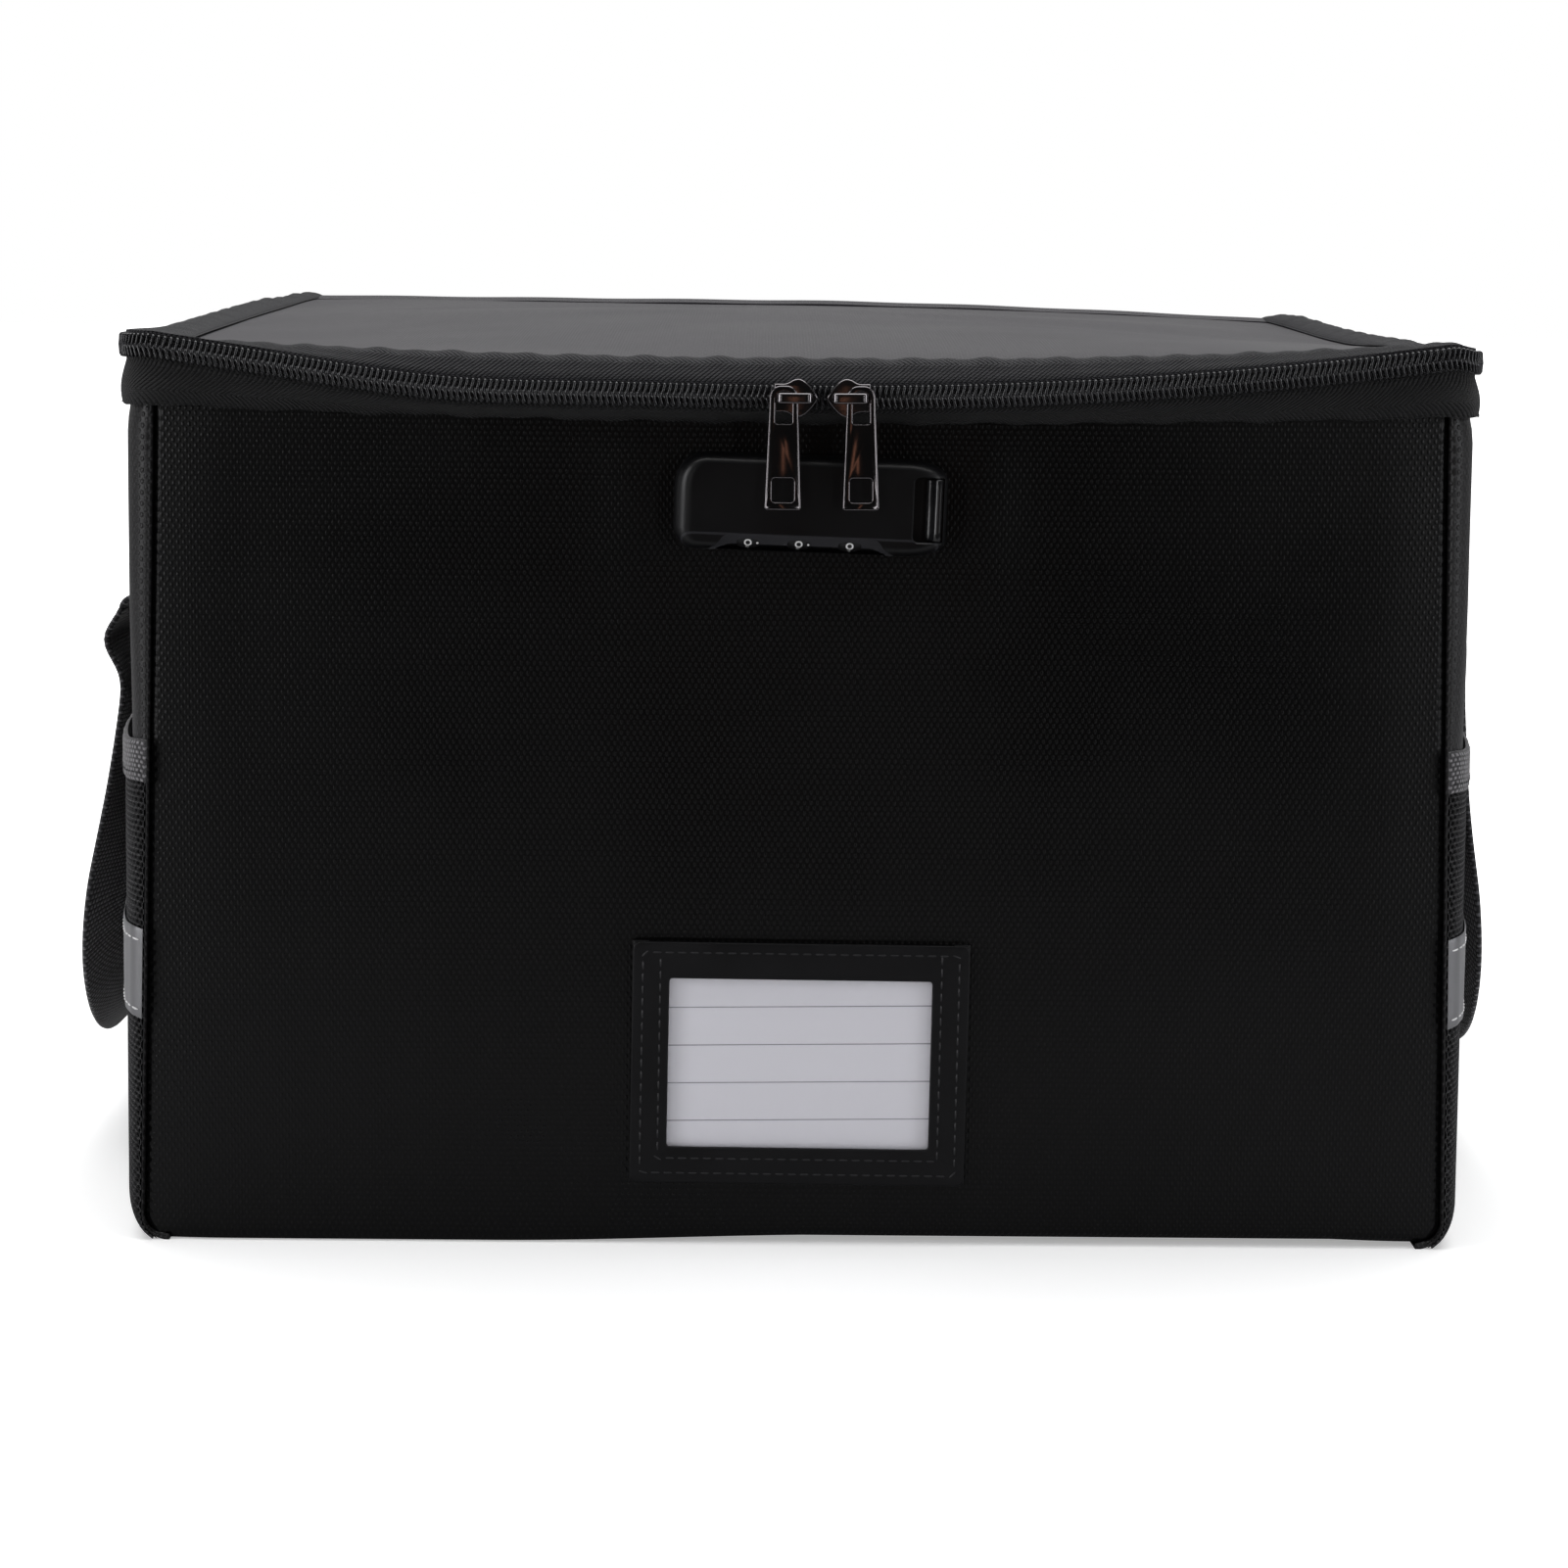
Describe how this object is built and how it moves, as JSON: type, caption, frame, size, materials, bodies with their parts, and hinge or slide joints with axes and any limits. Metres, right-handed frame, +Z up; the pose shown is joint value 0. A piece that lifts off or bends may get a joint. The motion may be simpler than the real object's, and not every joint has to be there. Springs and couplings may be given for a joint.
{
  "type": "portable file box",
  "caption": "Soft-sided, board-stiffened portable file box with a zipped lid, a combination lock, a label window, mesh side pockets and webbing handles.",
  "frame": {"origin": "centre of the base on the surface that it stands on, midway between the side walls' front and back seams", "axes": "+Z up, -Y towards the front with the lock and label, +X to the right seen from the front"},
  "size_m": [0.4657, 0.3444, 0.2833],
  "materials": {
    "outer_cloth": "black silicone-coated woven cloth with a fine dimpled weave, satin",
    "lid_cloth": "the same coated cloth, catching the light from above",
    "board": "plain grey-brown stiffening board",
    "lining": "thin grey coated lining cloth",
    "zip_tape": "black herringbone woven polyester tape",
    "zip_coil": "black nylon coil",
    "gunmetal": "polished gunmetal plated zinc",
    "lock_plastic": "fine-textured black moulded plastic",
    "lock_gloss": "glossy black moulded plastic",
    "lock_steel": "plain steel",
    "dial_plastic": "black wheels with small white numbers",
    "label_leather": "smooth black coated leather cloth with cut edges",
    "label_film": "clear flexible film",
    "card": "white card with thin grey ruled lines",
    "mesh": "black knitted spacer mesh with hexagonal holes",
    "binding": "grey twill webbing",
    "reflective": "silver retro-reflective tape, sewn with white thread",
    "webbing": "black ribbed polypropylene webbing"
  },
  "bodies": {
    "box_body": {"front_panel": "outer_cloth", "back_panel": "outer_cloth", "left_side_panel": "outer_cloth", "right_side_panel": "outer_cloth", "bottom_panel": "outer_cloth", "front_board": "board", "back_board": "board", "left_board": "board", "right_board": "board", "bottom_board": "board", "front_lining": "lining", "back_lining": "lining", "left_lining": "lining", "right_lining": "lining", "bottom_lining": "lining", "lower_zip_tape": "zip_tape", "lower_zip_coil": "zip_coil", "zip_end_tabs": "zip_tape", "hinge_strip": "outer_cloth", "lock_housing": "lock_plastic", "lock_back_plate": "lock_steel", "lock_screws": "lock_steel", "lock_axle": "lock_steel", "lock_spring": "lock_steel", "label_frame": "label_leather", "label_window": "label_film", "left_mesh_pocket": "mesh", "right_mesh_pocket": "mesh", "left_pocket_binding": "binding", "right_pocket_binding": "binding", "left_reflective_strip": "reflective", "right_reflective_strip": "reflective", "left_handle_anchors": "webbing", "right_handle_anchors": "webbing", "left_handle_folds": "webbing", "right_handle_folds": "webbing"},
    "lid": {"lid_panel": "lid_cloth", "lid_board": "board", "lid_lining": "lining", "upper_zip_tape": "zip_tape", "upper_zip_coil": "zip_coil"},
    "left_slider": {"left_slider": "gunmetal"},
    "right_slider": {"right_slider": "gunmetal"},
    "left_pull": {"left_pull": "gunmetal"},
    "right_pull": {"right_pull": "gunmetal"},
    "dial_left": {"dial_left": "dial_plastic"},
    "dial_middle": {"dial_middle": "dial_plastic"},
    "dial_right": {"dial_right": "dial_plastic"},
    "release": {"release_button": "lock_gloss", "latch_bar": "lock_steel"},
    "card": {"label_card": "card"},
    "left_handle": {"left_handle_loop": "webbing"},
    "right_handle": {"right_handle_loop": "webbing"}
  },
  "joints": [
    {"name": "lid_hinge", "type": "hinge", "parent": "box_body", "child": "lid", "pos_m": [0, 0.1603, 0.2813], "axis": [-1, 0, 0], "range_deg": [0, 240], "deforming": ["hinge_strip"]},
    {"name": "left_zip_run", "type": "hinge", "parent": "box_body", "child": "left_slider", "pos_m": [0, 0.53064, 1.0054], "axis": [0, 0.7295, -0.6839], "range_deg": [0, 9]},
    {"name": "right_zip_run", "type": "hinge", "parent": "box_body", "child": "right_slider", "pos_m": [0, 0.53064, 1.0054], "axis": [0, -0.7295, 0.6839], "range_deg": [0, 8.6]},
    {"name": "left_pull_swing", "type": "hinge", "parent": "left_slider", "child": "left_pull", "pos_m": [-0.00561, -0.18024, 0.25401], "axis": [0.0014, 1, 0], "range_deg": [0, 90]},
    {"name": "right_pull_swing", "type": "hinge", "parent": "right_slider", "child": "right_pull", "pos_m": [0.01646, -0.18016, 0.25409], "axis": [0.0086, -1, 0], "range_deg": [0, 90]},
    {"name": "dial_left_turn", "type": "hinge", "parent": "box_body", "child": "dial_left", "pos_m": [-0.01544, -0.17022, 0.21503], "axis": [0.9996, 0, -0.0297], "continuous": true},
    {"name": "dial_middle_turn", "type": "hinge", "parent": "box_body", "child": "dial_middle", "pos_m": [-0.00075, -0.17022, 0.21459], "axis": [0.9996, 0, -0.0297], "continuous": true},
    {"name": "dial_right_turn", "type": "hinge", "parent": "box_body", "child": "dial_right", "pos_m": [0.01394, -0.17022, 0.21416], "axis": [0.9996, 0, -0.0297], "continuous": true},
    {"name": "release_slide", "type": "slide", "parent": "box_body", "child": "release", "axis": [-0.9996, 0, 0.0297], "range_m": [0, 0.003], "stiffness_N_per_m": 150, "springref_m": -0.002, "deforming": ["lock_spring"]},
    {"name": "card_slide", "type": "slide", "parent": "box_body", "child": "card", "axis": [0, 0, 1], "range_m": [0, 0.06]},
    {"name": "left_handle_swing", "type": "hinge", "parent": "box_body", "child": "left_handle", "pos_m": [-0.20955, 0, 0.182], "axis": [0, 1, 0], "range_deg": [0, 150], "deforming": ["left_handle_folds"]},
    {"name": "right_handle_swing", "type": "hinge", "parent": "box_body", "child": "right_handle", "pos_m": [0.20955, 0, 0.182], "axis": [0, -1, 0], "range_deg": [0, 150], "deforming": ["right_handle_folds"]}
  ]
}
